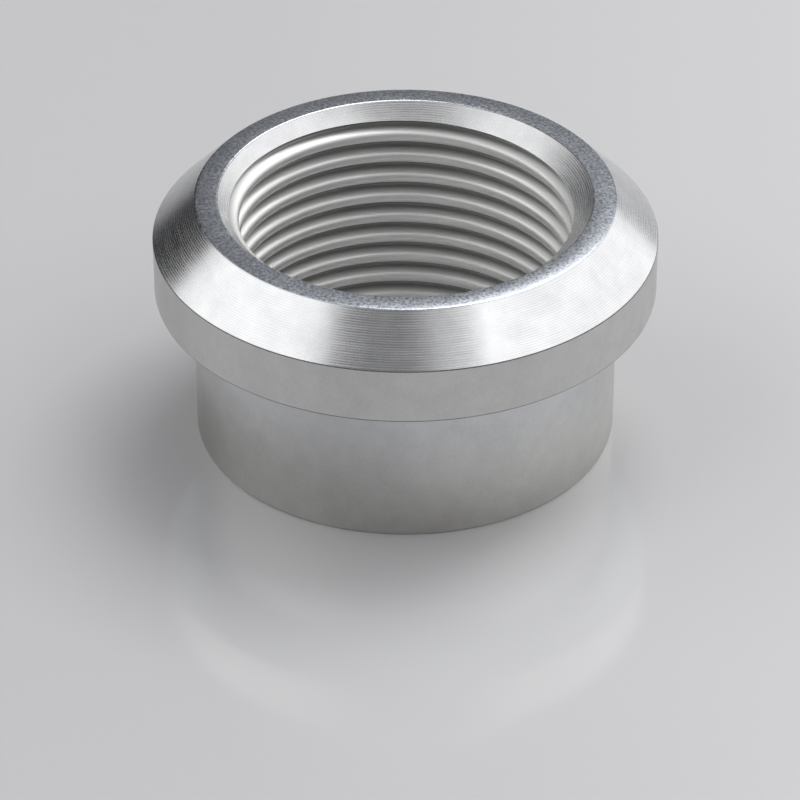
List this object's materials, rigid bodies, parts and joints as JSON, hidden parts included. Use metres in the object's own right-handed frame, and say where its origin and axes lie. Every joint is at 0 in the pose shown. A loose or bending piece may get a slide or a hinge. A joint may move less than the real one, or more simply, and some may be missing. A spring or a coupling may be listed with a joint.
{
  "type": "weld on bung",
  "caption": "Turned round boss with a chamfered flange, a plain spigot to weld into a wall and a parallel pipe thread right through.",
  "frame": {"origin": "centre of the spigot's bottom end, on the bore's axis", "axes": "+Z along the bore's axis, from the spigot's end towards the sealing face of the flange; X and Y across it, with no clocking on the real part"},
  "size_m": [0.0376, 0.0376, 0.0195],
  "materials": {
    "turned_aluminium": "bare metal as turned, satin on the cylinders and the face, bright on the chamfers and in the thread"
  },
  "bodies": {
    "root": {"bung": "turned_aluminium"}
  },
  "joints": []
}
